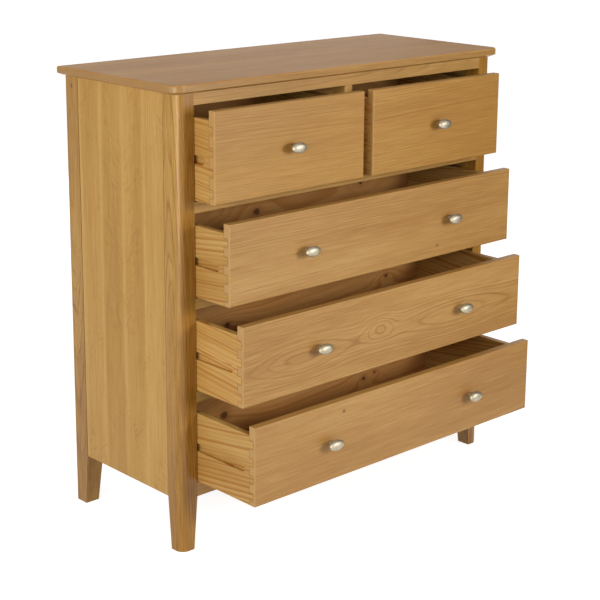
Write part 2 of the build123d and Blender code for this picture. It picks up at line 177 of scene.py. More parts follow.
def new_group(name, inputs, outputs):
    """Empty node group with named sockets: its wiring, what comes in and what goes out."""
    tree = bpy.data.node_groups.new(name, "ShaderNodeTree")
    for label, kind, value in inputs:
        socket = tree.interface.new_socket(name=label, in_out="INPUT", socket_type="NodeSocket" + kind)
        if value is not None:
            socket.default_value = value
    for label in outputs:
        tree.interface.new_socket(name=label, in_out="OUTPUT", socket_type="NodeSocketFloat")
    wiring = Wiring(tree)
    return wiring, wiring.node("NodeGroupInput").outputs, wiring.node("NodeGroupOutput").inputs


# Fine bends of the years as a share of the slow ones, then how uneven years are: over how many of them their
# width varies, and by how many
FINE_BENDS = 0.16
UNEVEN_SPAN = 5.0
UNEVEN_YEARS = 3.0

# Tone of each wood where its figure is at its mean, and what oak's dark lines add to it
OAK_TONE = 0.55
PINE_TONE = 0.5
LINE_TONE = -0.58

# Cosine and sine of the angle between flecks and grain
FLECK_TURN = (0.72, 0.69)

# What a board takes from its log
LOG_INPUTS = [
    ("Vector", "Vector", None),
    ("Pith", "Vector", (0.0, 0.1, 0.0)),
    ("Lean", "Vector", (0.0, 0.0, 0.0)),
    ("Ring Width", "Float", 0.005),
    ("Wander", "Float", 0.01),
    ("Swell", "Float", 0.0),
    ("Seed", "Float", 0.0),
]


def seeded(wiring, given):
    """The board's coordinates moved by its seed, for noise that differs from board to board."""
    seed = given["Seed"]
    shift = wiring.joined(wiring.maths("MULTIPLY", seed, 3.7), wiring.maths("MULTIPLY", seed, 1.3), seed)
    return wiring.vector("ADD", given["Vector"], shift)


def make_growth_rings():
    """Distance from the heart of the log, cut into years.

    The heart runs along X through Pith and drifts by Lean for each metre. A slow and a fine noise
    bend it, Swell is added to the distance, and a noise along the distance makes years uneven.
    """
    w, given, out = new_group("growth rings", LOG_INPUTS, ["Ring", "Year", "Distance"])
    place = seeded(w, given)
    slow = w.vector("SUBTRACT", w.noise(place, (1.5, 6.0, 6.0), 2.0).outputs[1], (0.5, 0.5, 0.5))
    fine = w.vector("SUBTRACT", w.noise(place, (10.0, 70.0, 70.0), 2.0).outputs[1], (0.5, 0.5, 0.5))
    wander = given["Wander"]
    slow = w.vector("MULTIPLY", slow, w.joined(0.0, wander, wander))
    little = w.maths("MULTIPLY", wander, FINE_BENDS)
    fine = w.vector("MULTIPLY", fine, w.joined(0.0, little, little))
    bent = w.vector("ADD", w.vector("ADD", given["Vector"], slow), fine)
    along, _, _ = w.split(bent)
    heart = w.vector("ADD", given["Pith"], w.vector("MULTIPLY", given["Lean"], w.joined(along, along, along)))
    offset = w.vector("MULTIPLY", w.vector("SUBTRACT", bent, heart), (0.0, 1.0, 1.0))
    distance = w.maths("ADD", w.vector("LENGTH", offset), given["Swell"])
    width = given["Ring Width"]
    uneven = w.line_noise(w.maths("DIVIDE", distance, w.maths("MULTIPLY", width, UNEVEN_SPAN)))
    years = w.maths("ADD", w.maths("DIVIDE", distance, width), w.swing(uneven, UNEVEN_YEARS))
    w.feed(out["Ring"], w.maths("FRACT", years))
    w.feed(out["Year"], w.dice(w.maths("ADD", w.maths("FLOOR", years), given["Seed"])))
    w.feed(out["Distance"], distance)
    return w.tree


def make_oak_figure(rings):
    """Tone of oak: a thin dark line at the start of each year, in bunches, over slow drift and fine fibres.

    Short pores run along X, most of them in the dark lines.
    """
    inputs = LOG_INPUTS + [("Contrast", "Float", 1.0), ("Lines", "Float", 1.0)]
    w, given, out = new_group("oak figure", inputs, ["Tone", "Pores", "Height"])
    passed = {label.replace(" ", "_"): given[label] for label, _, _ in LOG_INPUTS}
    years = w.place(rings, **passed)
    place = seeded(w, given)
    fall = w.span(years["Ring"], 0.0, 0.26, 1.0, 0.0)
    rise = w.span(years["Ring"], 0.90, 1.0)
    line = w.maths("MULTIPLY", w.maths("MAXIMUM", fall, rise), w.span(years["Year"], 0.0, 1.0, 0.15, 1.0))
    bunch = w.noise(place, (1.6, 24.0, 24.0), 1.0).outputs[0]
    line = w.maths("MULTIPLY", line, w.span(bunch, 0.40, 0.62, 0.30, 1.0))
    broad = w.noise(place, (1.1, 7.0, 7.0), 1.0).outputs[0]
    drift = w.noise(place, (2.6, 34.0, 34.0), 2.0).outputs[0]
    hatch = w.noise(place, (12.0, 190.0, 190.0), 1.0).outputs[0]
    fibre = w.noise(place, (14.0, 420.0, 420.0), 2.0).outputs[0]
    swings = ((broad, 0.9), (hatch, 0.45), (drift, 0.5), (years["Year"], 0.10), (fibre, 0.7))
    dark_line = w.maths("MULTIPLY", w.maths("MULTIPLY", line, given["Lines"]), LINE_TONE)
    tone = w.total(*(w.swing(value, weight) for value, weight in swings), dark_line)
    tone = w.maths("MULTIPLY", tone, given["Contrast"])
    w.feed(out["Tone"], w.maths("ADD", tone, OAK_TONE, clamp=True))
    dash = w.span(w.noise(place, (46.0, 760.0, 760.0), 1.0).outputs[0], 0.58, 0.74)
    pores = w.maths("MULTIPLY", dash, w.maths("ADD", w.maths("MULTIPLY", line, 0.65), 0.35))
    w.feed(out["Pores"], pores)
    w.feed(out["Height"], w.maths("SUBTRACT", w.maths("MULTIPLY", fibre, 0.35), pores))
    return w.tree


def make_pine_figure(rings):
    """Tone of pine: pale spring wood rising to an orange summer line with a sharp outer edge."""
    inputs = LOG_INPUTS + [("Contrast", "Float", 1.0)]
    w, given, out = new_group("pine figure", inputs, ["Tone", "Summer", "Height"])
    passed = {label.replace(" ", "_"): given[label] for label, _, _ in LOG_INPUTS}
    years = w.place(rings, **passed)
    place = seeded(w, given)
    rise = w.span(years["Ring"], 0.15, 0.82)
    fall = w.span(years["Ring"], 0.84, 1.0, 1.0, 0.0)
    strong = w.span(years["Year"], 0.0, 1.0, 0.25, 1.0)
    summer = w.maths("MULTIPLY", w.maths("MULTIPLY", rise, fall), strong)
    drift = w.noise(place, (2.0, 14.0, 14.0), 2.0).outputs[0]
    fibre = w.noise(place, (8.0, 260.0, 260.0), 2.0).outputs[0]
    tone = w.maths("MULTIPLY", w.total(w.swing(drift, 1.1), w.swing(fibre, 0.5)), given["Contrast"])
    w.feed(out["Tone"], w.maths("ADD", tone, PINE_TONE, clamp=True))
    w.feed(out["Summer"], w.maths("MULTIPLY", summer, given["Contrast"], clamp=True))
    w.feed(out["Height"], w.maths("ADD", w.maths("MULTIPLY", fibre, 0.4), w.maths("MULTIPLY", summer, 0.4)))
    return w.tree


def make_swell():
    """Bulge of the growth rings: a bell curve of the given height around Place, Reach wide on each axis."""
    inputs = [
        ("Vector", "Vector", None),
        ("Place", "Vector", (0.0, 0.0, 0.0)),
        ("Reach", "Vector", (0.1, 0.1, 0.1)),
        ("Height", "Float", 0.01),
    ]
    w, given, out = new_group("ring swell", inputs, ["Swell"])
    away = w.vector("DIVIDE", w.vector("SUBTRACT", given["Vector"], given["Place"]), given["Reach"])
    fall = w.maths("EXPONENT", w.maths("MULTIPLY", w.vector("DOT_PRODUCT", away, away), -1.0))
    w.feed(out["Swell"], w.maths("MULTIPLY", fall, given["Height"]))
    return w.tree


def make_flecks():
    """Ray flecks of oak cut on the quarter: short soft streaks, turned from the grain.

    They lean the other way where Side is negative.
    """
    inputs = [("Vector", "Vector", None), ("Side", "Float", 1.0), ("Seed", "Float", 0.0)]
    w, given, out = new_group("ray flecks", inputs, ["Fleck"])
    along, across, _ = w.split(given["Vector"])
    across = w.maths("MULTIPLY", across, given["Side"])
    cosine, sine = FLECK_TURN
    down = w.maths("SUBTRACT", w.maths("MULTIPLY", along, cosine), w.maths("MULTIPLY", across, sine))
    over = w.maths("ADD", w.maths("MULTIPLY", along, sine), w.maths("MULTIPLY", across, cosine))
    streak = w.noise(w.joined(down, over, given["Seed"]), (150.0, 34.0, 1.0), 1.0).outputs[0]
    patch = w.noise(w.joined(along, across, given["Seed"]), (9.0, 14.0, 1.0), 1.0).outputs[0]
    fleck = w.maths("MULTIPLY", w.span(streak, 0.46, 0.66), w.span(patch, 0.42, 0.66))
    w.feed(out["Fleck"], fleck)
    return w.tree


def make_knot():
    """Round knot: a dark core with a ragged rim inside a warm halo, by distance from Place over Reach."""
    inputs = [
        ("Vector", "Vector", None),
        ("Place", "Vector", (0.0, 0.0, 0.0)),
        ("Reach", "Vector", (0.01, 1.0, 0.01)),
    ]
    w, given, out = new_group("knot", inputs, ["Core", "Halo"])
    away = w.vector("DIVIDE", w.vector("SUBTRACT", given["Vector"], given["Place"]), given["Reach"])
    ragged = w.swing(w.noise(away, (2.0, 2.0, 2.0), 2.0).outputs[0], 0.7)
    apart = w.maths("ADD", w.vector("LENGTH", away), ragged)
    w.feed(out["Core"], w.span(apart, 0.45, 1.0, 1.0, 0.0))
    w.feed(out["Halo"], w.span(apart, 0.5, 2.6, 1.0, 0.0))
    return w.tree


def make_staves():
    """Strips side by side across Y: the tone of each strip, its own seed, its paler margin and its turn."""
    inputs = [("Vector", "Vector", None), ("Width", "Float", 0.055), ("Seed", "Float", 0.0)]
    w, given, out = new_group("matched strips", inputs, ["Tone", "Seed", "Joint", "Side"])
    _, across, _ = w.split(given["Vector"])
    start = w.maths("MULTIPLY", given["Seed"], 0.37)
    count = w.maths("ADD", w.maths("DIVIDE", across, given["Width"]), start)
    strip = w.maths("FLOOR", count)
    w.feed(out["Tone"], w.dice(strip))
    w.feed(out["Seed"], w.maths("MULTIPLY", w.dice(w.maths("ADD", strip, 41.0)), 9.0))
    edge = w.maths("ABSOLUTE", w.maths("SUBTRACT", w.maths("FRACT", count), 0.5))
    w.feed(out["Joint"], w.span(edge, 0.34, 0.5))
    turned = w.maths("MODULO", w.maths("ADD", strip, 100.0), 2.0)
    w.feed(out["Side"], w.maths("SUBTRACT", 1.0, w.maths("MULTIPLY", turned, 2.0)))
    return w.tree


# Tails in a drawer's corner: how many, their length, half width at the shoulder, widening on each side by
# their length, and the radius of their ends
TAIL_COUNT = 4
TAIL_LENGTH = 0.012
TAIL_HALF_WIDTH = 0.008
TAIL_FLARE = 0.25
TAIL_ROUND = 0.006


def make_joint_lines():
    """Line of a drawer's corner joint, seen from the drawer's side: the shoulder and the rounded tails.

    One number is the way from the shoulder into the front, the other the way up from the nearest tail's
    middle. A tail is a rounded box that widens into the front. The line is where the lesser of the
    distances to the shoulder and to the tail is near nothing.
    """
    inputs = [
        ("Vector", "Vector", None),
        ("Shoulder", "Float", 0.0),
        ("Foot", "Float", 0.0),
        ("Pitch", "Float", 0.04),
    ]
    w, given, out = new_group("joint lines", inputs, ["Line"])
    _, depth, up = w.split(given["Vector"])
    into = w.maths("SUBTRACT", given["Shoulder"], depth)
    count = w.maths("DIVIDE", w.maths("SUBTRACT", up, given["Foot"]), given["Pitch"])
    away = w.maths("ABSOLUTE", w.maths("SUBTRACT", w.maths("FRACT", count), 0.5))
    across = w.maths("MULTIPLY", away, given["Pitch"])
    half_width = w.maths("ADD", w.maths("MULTIPLY", into, TAIL_FLARE), TAIL_HALF_WIDTH - TAIL_ROUND)
    wide = w.maths("SUBTRACT", across, half_width)
    deep = w.maths("SUBTRACT", into, TAIL_LENGTH - TAIL_ROUND)
    corner = w.joined(w.maths("MAXIMUM", wide, 0.0), w.maths("MAXIMUM", deep, 0.0), 0.0)
    within = w.maths("MINIMUM", w.maths("MAXIMUM", wide, deep), 0.0)
    tail = w.maths("SUBTRACT", w.maths("ADD", w.vector("LENGTH", corner), within), TAIL_ROUND)
    near = w.maths("ABSOLUTE", w.maths("MINIMUM", into, tail))
    line = w.span(near, 0.0003, 0.0014, 1.0, 0.0)
    w.feed(out["Line"], w.maths("MULTIPLY", line, w.maths("LESS_THAN", count, float(TAIL_COUNT))))
    return w.tree


def make_board_edges():
    """Nearness to a board's edges and to its sawn ends.

    With the board centred, each axis gives the distance to its nearer face. On a face one of the
    three is nothing, so the middle one of the three is the distance to the nearest edge.
    """
    inputs = [("Vector", "Vector", None), ("Half", "Vector", (0.1, 0.1, 0.1)), ("Reach", "Float", 0.003)]
    w, given, out = new_group("board edges", inputs, ["Edge", "End"])
    left = w.vector("SUBTRACT", given["Half"], w.vector("ABSOLUTE", given["Vector"]))
    a, b, c = w.split(left)
    middle = w.maths("MAXIMUM", w.maths("MINIMUM", a, b), w.maths("MINIMUM", w.maths("MAXIMUM", a, b), c))
    wear_and_highlight_wobble = w.noise(given["Vector"], (40.0, 40.0, 40.0), 2.0).outputs[0]
    reach = w.maths("MULTIPLY", given["Reach"], w.maths("ADD", wear_and_highlight_wobble, 0.5))
    w.feed(out["Edge"], w.span(middle, 0.0, reach, 1.0, 0.0))
    w.feed(out["End"], w.span(a, 0.0002, 0.0008, 1.0, 0.0))
    return w.tree


def make_lacquer():
    """Satin lacquer: roughness that rises over open pores and varies in slow patches."""
    inputs = [("Vector", "Vector", None), ("Open", "Float", 0.0), ("Level", "Float", 0.4)]
    w, given, out = new_group("satin lacquer", inputs, ["Roughness"])
    patch = w.noise(given["Vector"], (6.0, 14.0, 14.0), 2.0).outputs[0]
    fine = w.noise(given["Vector"], (60.0, 400.0, 400.0), 1.0).outputs[0]
    rough = w.total(
        given["Level"],
        w.swing(patch, 0.10),
        w.swing(fine, 0.06),
        w.maths("MULTIPLY", given["Open"], 0.18),
    )
    w.feed(out["Roughness"], w.maths("ADD", rough, 0.0, clamp=True))
    return w.tree


RINGS = make_growth_rings()
FIGURES = {"oak": make_oak_figure(RINGS), "pine": make_pine_figure(RINGS)}
SWELL = make_swell()
FLECKS = make_flecks()
KNOT = make_knot()
STAVES = make_staves()
JOINT_LINES = make_joint_lines()
EDGES = make_board_edges()
LACQUER = make_lacquer()

# Display colours of each wood: dark, middle and light tone, then pores or summer wood, then sawn ends
WOODS = {
    "front": ("oak", (149, 101, 39), (167, 122, 58), (185, 143, 82), (141, 92, 35), (194, 150, 88)),
    "upper_front": ("oak", (149, 99, 29), (166, 118, 44), (183, 138, 66), (141, 90, 26), (194, 150, 88)),
    "rail": ("oak", (160, 114, 48), (179, 133, 62), (196, 153, 84), (152, 104, 44), (190, 145, 84)),
    "leg": ("oak", (141, 92, 29), (168, 120, 42), (187, 142, 66), (133, 85, 28), (170, 122, 58)),
    "veneer": ("oak", (167, 119, 50), (184, 138, 65), (199, 156, 85), (161, 112, 44), (172, 122, 58)),
    "top": ("oak", (167, 116, 58), (188, 137, 75), (204, 155, 92), (159, 108, 52), (182, 131, 68)),
    "pine": ("pine", (178, 131, 62), (194, 150, 80), (209, 169, 102), (166, 106, 40), (180, 130, 64)),
    # The next pine is painted light: a lighter, redder copy of the pine, standing in for the light and warm
    # bounce that reach the boards within the carcass and drawers
    "inside": ("pine", (192, 134, 70), (212, 153, 87), (226, 173, 109), (188, 123, 60), (186, 128, 64)),
    "plywood": ("pine", (172, 126, 66), (188, 143, 82), (202, 160, 100), (166, 116, 58), (168, 120, 62)),
}

# Places of the dark, middle and light tone on a wood's scale
TONE_PLACES = (0.12, 0.5, 0.9)

# Mark that runs through each family of wood, and how strongly it colours
MARKS = {"oak": ("Pores", 0.5), "pine": ("Summer", 0.85)}

# Display colours of a joint's line, and of a knot's core and the halo round it
SEAM = (132, 84, 36)
KNOT_CORE = (86, 48, 22)
KNOT_HALO = (150, 98, 46)

# How strongly sawn ends, joint lines, cores and halos colour a board
END_TINT = 0.7
SEAM_TINT = 0.6
CORE_TINT = 0.85
HALO_TINT = 0.35

# Swing of a strip's own tone, and what its margin and its flecks add to the tone
STRIP_SWING = 0.30
MARGIN_TONE = 0.24
FLECK_TONE = -0.20

# Share of each colour that painted shade keeps on the front legs' front faces, where the drawn-out drawers
# shade them, and how far its border waves
PAINTED_SHADE_SHARE = (0.82, 0.77, 0.75, 1.0)
PAINTED_SHADE_WAVE = 0.012

# Share of each colour that a top's rim keeps, how far under the top face it is full and sets in, and the
# roughness of its coat
RIM_TINT = (0.78, 0.83, 0.84, 1.0)
RIM_DEPTH = (0.004, 0.001)
RIM_ROUGHNESS = 0.25

# Width of the lighter edges, which are rubbed wear and partly a painted highlight along the arrises, and
# strength and height of the grain's relief
EDGE_REACH = 0.004
RELIEF_STRENGTH = 0.35
RELIEF_HEIGHT = 0.0002


def new_material(name):
    """Material with one Principled shader: its wiring, the shader and the object's coordinates."""
    material = bpy.data.materials.new(name)
    material.use_nodes = True
    material.node_tree.nodes.clear()
    w = Wiring(material.node_tree)
    shader = w.node("ShaderNodeBsdfPrincipled")
    output = w.node("ShaderNodeOutputMaterial")
    w.feed(output.inputs["Surface"], shader.outputs[0])
    coordinates = w.node("ShaderNodeTexCoord").outputs["Object"]
    return material, w, shader, coordinates


def board_coordinates(w, coordinates, node, grain):
    """Coordinates with the board's middle at nothing and its grain along X, and the board's half sizes."""
    low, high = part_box(node)
    turn = Euler(GRAIN_TURN[grain]).to_matrix()
    middle = turn @ ((low + high) / 2)
    half = turn @ ((high - low) / 2)
    mapping = w.node("ShaderNodeMapping", vector_type="POINT")
    mapping.inputs["Rotation"].default_value = GRAIN_TURN[grain]
    mapping.inputs["Location"].default_value = -middle
    w.feed(mapping.inputs["Vector"], coordinates)
    return mapping.outputs[0], tuple(abs(size) for size in half)


def board(
    node,
    wood,
    grain,
    pith=(0.10, 0.0),
    lean=(0.0, 0.0),
    ring=0.005,
    wander=0.012,
    contrast=1.0,
    depth=1.0,
    seed=0.0,
    swells=(),
    knots=(),
    stave=0.0,
    rough=0.46,
    edge=0.2,
    lines=1.0,
    gloss=0.5,
    joint=None,
    heart=None,
    rim=0.0,
):
    """Finish one board: its own cut from the log, edges, knots and lacquer.

    pith and lean are given across the grain, as (Y, Z) in the board's axes. Each swell is (place, reach,
    height) and each knot (place, reach). joint is a drawer corner's (shoulder, foot, pitch). heart is the
    (start, end) along Y between which painted shade sets in, where drawers beside a face shade it. rim is the
    coat round the board's edge.
    """
    family, dark, middle, light, mark, sawn = WOODS[wood]
    material, w, shader, coordinates = new_material(f"{wood}_{node}")
    vector, half = board_coordinates(w, coordinates, node, grain)
    values = {
        "Vector": vector,
        "Pith": (0.0, *pith),
        "Lean": (0.0, *lean),
        "Ring_Width": ring,
        "Wander": wander,
        "Contrast": contrast,
        "Seed": seed,
    }
    if family == "oak":
        values["Lines"] = lines
    bulges = [w.place(SWELL, Vector=vector, Place=p, Reach=r, Height=h)["Swell"] for p, r, h in swells]
    if bulges:
        values["Swell"] = w.total(*bulges)
    strips = w.place(STAVES, Vector=vector, Width=stave, Seed=seed) if stave else None
    if strips:
        values["Seed"] = strips["Seed"]
    figure = w.place(FIGURES[family], **values)
    tone = figure["Tone"]
    if strips:
        flecks = w.place(FLECKS, Vector=vector, Side=strips["Side"], Seed=seed)
        tone = w.total(
            tone,
            w.swing(strips["Tone"], STRIP_SWING),
            w.maths("MULTIPLY", strips["Joint"], MARGIN_TONE),
            w.maths("MULTIPLY", flecks["Fleck"], FLECK_TONE),
        )
    tones = [shade(*tint, depth) for tint in (dark, middle, light)]
    colour = w.ramp(tone, *zip(TONE_PLACES, tones))
    label, strength = MARKS[family]
    streak = figure[label]
    colour = w.mix(w.maths("MULTIPLY", streak, strength), colour, shade(*mark, depth))
    # Painted shade: the colour darkens past a wavy border along Y, on a face that the drawers beside it shade
    if heart:
        wave = w.noise(vector, (4.0, 40.0, 40.0), 1.0).outputs[0]
        place = w.maths("ADD", w.split(vector)[1], w.swing(wave, PAINTED_SHADE_WAVE))
        colour = w.mix(w.span(place, *heart), colour, PAINTED_SHADE_SHARE, "MULTIPLY")
    sides = w.place(EDGES, Vector=vector, Half=half, Reach=EDGE_REACH)
    # Edges lightened towards the light tone: rubbed wear, and partly a painted highlight along the arrises
    colour = w.mix(w.maths("MULTIPLY", sides["Edge"], edge), colour, shade(*light, depth))
    colour = w.mix(w.maths("MULTIPLY", sides["End"], END_TINT), colour, shade(*sawn, depth))
    if joint:
        shoulder, foot, pitch = joint
        seam = w.place(JOINT_LINES, Vector=coordinates, Shoulder=shoulder, Foot=foot, Pitch=pitch)["Line"]
        shown = w.maths("MULTIPLY", seam, sides["End"]) if wood.endswith("front") else seam
        colour = w.mix(w.maths("MULTIPLY", shown, SEAM_TINT), colour, shade(*SEAM, depth))
    for p, r in knots:
        spot = w.place(KNOT, Vector=vector, Place=p, Reach=r)
        colour = w.mix(w.maths("MULTIPLY", spot["Halo"], HALO_TINT), colour, shade(*KNOT_HALO, depth))
        colour = w.mix(w.maths("MULTIPLY", spot["Core"], CORE_TINT), colour, shade(*KNOT_CORE, depth))
    if rim:
        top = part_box(node)[1].z
        full, start = (top - under for under in RIM_DEPTH)
        border = w.span(w.split(coordinates)[2], full, start, 1.0, 0.0)
        colour = w.mix(border, colour, RIM_TINT, "MULTIPLY")
        w.feed(shader.inputs["Coat Weight"], w.maths("MULTIPLY", border, rim))
        shader.inputs["Coat Roughness"].default_value = RIM_ROUGHNESS
    w.feed(shader.inputs["Base Color"], colour)
    satin = w.place(LACQUER, Vector=vector, Open=streak if family == "oak" else 0.0, Level=rough)
    w.feed(shader.inputs["Roughness"], satin["Roughness"])
    shader.inputs["Specular IOR Level"].default_value = gloss
    bump = w.node("ShaderNodeBump")
    bump.inputs["Strength"].default_value = RELIEF_STRENGTH
    bump.inputs["Distance"].default_value = RELIEF_HEIGHT
    w.feed(bump.inputs["Height"], figure["Height"])
    w.feed(shader.inputs["Normal"], bump.outputs[0])
    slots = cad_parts[node].data.materials
    slots.clear()
    slots.append(material)


# Each drawer, with its front's wood and cut from the log
FRONTS = {
    "top_left_drawer": {
        "wood": "upper_front",
        "pith": (0.11, 0.16),
        "lean": (0.03, -0.05),
        "ring": 0.0050,
        "contrast": 0.8,
        "lines": 1.2,
    },
    "top_right_drawer": {
        "wood": "upper_front",
        "pith": (0.14, -0.22),
        "lean": (0.0, 0.03),
        "ring": 0.0042,
        "contrast": 0.85,
        "lines": 1.2,
    },
    "second_drawer": {
        "wood": "front",
        "pith": (0.12, -0.17),
        "lean": (-0.06, -0.05),
        "ring": 0.0052,
        "wander": 0.016,
        "contrast": 0.85,
        "lines": 1.2,
        "knots": [((0.184, 0.0, -0.0592), (0.0045, 1.0, 0.003))],
    },
    "third_drawer": {
        "wood": "front",
        "pith": (0.055, -0.012),
        "lean": (0.0, 0.02),
        "ring": 0.0046,
        "lines": 1.9,
        "swells": [
            ((-0.276, 0.0, -0.011), (0.11, 1.0, 0.06), -0.013),
            ((-0.040, 0.0, 0.009), (0.045, 1.0, 0.035), -0.014),
            ((0.20, 0.0, -0.015), (0.16, 1.0, 0.06), -0.012),
        ],
    },
    "bottom_drawer": {
        "wood": "front",
        "pith": (0.10, 0.20),
        "lean": (0.02, 0.05),
        "ring": 0.0046,
        "wander": 0.014,
        "contrast": 0.85,
        "lines": 1.2,
        "knots": [((-0.182, 0.0, 0.0605), (0.005, 1.0, 0.0035))],
    },
}


def corner_joint(drawer):
    """Shoulder, foot and pitch of the tails in a drawer's front corners."""
    low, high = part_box(f"{drawer}_left_side")
    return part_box(f"{drawer}_front")[1].y, low.z, (high.z - low.z) / TAIL_COUNT


def finish_fronts():
    """Drawer fronts: oak with the grain along the front, each board with a cut of its own."""
    for count, (drawer, cut) in enumerate(FRONTS.items()):
        board(f"{drawer}_front", grain="X", seed=1.0 + count, joint=corner_joint(drawer), **cut)


# Each leg's cut from the log, apart from what all legs share
LEGS = {
    "front_left": {"pith": (0.004, 0.050), "lean": (0.012, 0.045), "ring": 0.0050},
    "front_right": {"pith": (-0.004, -0.052), "lean": (-0.010, 0.040), "ring": 0.0048},
    "back_left": {"pith": (0.006, 0.055), "lean": (0.010, -0.050), "ring": 0.0048},
    "back_right": {"pith": (-0.006, 0.055), "lean": (0.010, -0.040), "ring": 0.0048},
}
LEG_GRAIN = {"wander": 0.026, "contrast": 1.35, "lines": 0.9, "rough": 0.28, "gloss": 0.38}

# Where painted shade sets in on the front legs' front faces beside the drawers, and the knot in the back left
# leg
LEG_PAINTED_SHADE = (-0.013, -0.021)
LEG_KNOT = ((0.4686, 0.0, 0.022), (0.006, 0.004, 1.0))


def finish_carcass():
    """Top, legs, panels, rails, post and the parts that only show from within or behind, these in a pine
    painted lighter and redder.
    """
    top = {"pith": (0.35, -0.20), "lean": (0.02, 0.0), "ring": 0.0050, "contrast": 0.8}
    board("top_panel", "top", "X", seed=6.0, gloss=0.06, rim=0.6, **top)
    for count, (leg, cut) in enumerate(LEGS.items()):
        # The front legs' front faces take painted shade where the drawers beside them shade them
        heart = LEG_PAINTED_SHADE if leg.startswith("front") else None
        knots = [LEG_KNOT] if leg == "back_left" else []
        board(f"{leg}_leg", "leg", "Z", seed=7.0 + count, heart=heart, knots=knots, **cut, **LEG_GRAIN)
    for node, seed in (("left_side_panel", 11.0), ("right_side_panel", 12.0)):
        board(
            node,
            "veneer",
            "Z",
            pith=(0.80, 0.02),
            ring=0.0042,
            wander=0.006,
            contrast=0.95,
            stave=0.0735,
            seed=seed,
            edge=0.0,
            lines=0.8,
            gloss=0.36,
        )
    sheet = {"ring": 0.012, "wander": 0.05}
    board("back_panel", "plywood", "Z", pith=(0.06, 0.05), lean=(0.05, 0.0), seed=13.0, **sheet)
    front_cut = {"pith": (0.05, 0.03), "lean": (0.05, -0.06), "ring": 0.0044}
    front_rails = ("top_front", "upper_drawer", "middle_drawer", "lower_drawer", "bottom_front")
    for count, name in enumerate(front_rails):
        board(f"{name}_rail", "rail", "X", seed=14.0 + count, **front_cut)
    back_cut = {"pith": (0.05, 0.04), "lean": (0.02, 0.02), "ring": 0.006}
    for count, name in enumerate(("top_back", "upper_back", "bottom_back")):
        board(f"{name}_rail", "inside", "X", seed=20.0 + count, **back_cut)
    board("centre_post", "rail", "Z", pith=(0.05, 0.03), ring=0.0044, seed=24.0)
    board("centre_partition", "inside", "Y", pith=(0.05, 0.10), ring=0.006, seed=25.0)
    for count, name in enumerate(("left", "right", "centre")):
        board(f"{name}_runners", "inside", "Y", pith=(0.06, 0.20), ring=0.005, seed=26.0 + count, rough=0.5)


# Knots in the drawers' back boards, as (drawer, place along the board, place up it, size)
BACK_KNOTS = (
    ("bottom_drawer", -0.251, -0.014, 0.011),
    ("bottom_drawer", 0.193, -0.031, 0.006),
    ("bottom_drawer", 0.231, -0.023, 0.004),
    ("third_drawer", 0.302, 0.0, 0.006),
    ("third_drawer", -0.210, -0.022, 0.008),
    ("second_drawer", 0.249, 0.033, 0.005),
    ("second_drawer", -0.087, 0.012, 0.010),
)

# Each drawer's box: how near the pith lies to its sides, how far up and how it leans, then the depth of the
# colour of its sides and its back. The bottom drawer's back is painted lighter, by 1.15, as painted light
# inside that drawer
BOX_CUTS = (
    (0.05, 0.22, 0.10, 1.00, 1.00),
    (0.08, -0.20, 0.06, 1.00, 1.00),
    (0.03, 0.12, -0.10, 0.95, 1.00),
    (0.04, -0.10, 0.10, 1.07, 1.00),
    (0.05, 0.16, -0.12, 0.97, 1.15),
)


def finish_boxes():
    """Sides, backs and bottoms of the drawers, in lacquered pine and thin plywood."""
    for count, (drawer, cut) in enumerate(zip(FRONTS, BOX_CUTS)):
        near, up, lean, side_depth, back_depth = cut
        seed = 30.0 + 5 * count
        for side, turn in (("left", 1.0), ("right", -1.0)):
            board(
                f"{drawer}_{side}_side",
                "pine",
                "Y",
                pith=(near, turn * up),
                lean=(0.0, lean),
                ring=0.009,
                wander=0.02,
                contrast=1.2,
                depth=side_depth,
                seed=seed + (1 - turn) / 2,
                rough=0.5,
                gloss=0.3,
                joint=corner_joint(drawer),
            )
        knots = [((x, 0.0, z), (1.3 * size, 1.0, size)) for name, x, z, size in BACK_KNOTS if name == drawer]
        swells = [(p, (6 * r[0], 1.0, 3.5 * r[2]), 0.02) for p, r in knots]
        board(
            f"{drawer}_back",
            "inside",
            "X",
            pith=(0.05, 0.03),
            lean=(0.06, 0.0),
            ring=0.008,
            wander=0.02,
            depth=back_depth,
            seed=seed + 2,
            swells=swells,
            knots=knots,
            rough=0.5,
            gloss=0.2,
        )
        sheet = {"pith": (0.2, 0.06), "lean": (0.05, 0.05), "ring": 0.012, "wander": 0.05}
        board(f"{drawer}_bottom", "plywood", "X", seed=seed + 3, gloss=0.2, **sheet)


# What patches and lines add to a metal's roughness, and strength and height of the lines' relief
PATCH_ROUGHNESS = 0.10
LINE_ROUGHNESS = 0.06
LINE_STRENGTH = 0.08
LINE_HEIGHT = 0.0001


def metal(name, colour, worn, level):
    """Satin metal: fine lines and slow patches in its roughness, and a worn colour in some of the patches."""
    material, w, shader, coordinates = new_material(name)
    patch = w.noise(coordinates, (90.0, 90.0, 90.0), 2.0).outputs[0]
    lines = w.noise(coordinates, (900.0, 4000.0, 900.0), 1.0).outputs[0]
    w.feed(shader.inputs["Base Color"], w.mix(w.span(patch, 0.35, 0.75), shade(*colour), shade(*worn)))
    shader.inputs["Metallic"].default_value = 1.0
    uneven = w.maths("MULTIPLY", patch, PATCH_ROUGHNESS), w.maths("MULTIPLY", lines, LINE_ROUGHNESS)
    w.feed(shader.inputs["Roughness"], w.total(level, *uneven))
    bump = w.node("ShaderNodeBump")
    bump.inputs["Strength"].default_value = LINE_STRENGTH
    bump.inputs["Distance"].default_value = LINE_HEIGHT
    w.feed(bump.inputs["Height"], lines)
    w.feed(shader.inputs["Normal"], bump.outputs[0])
    return material


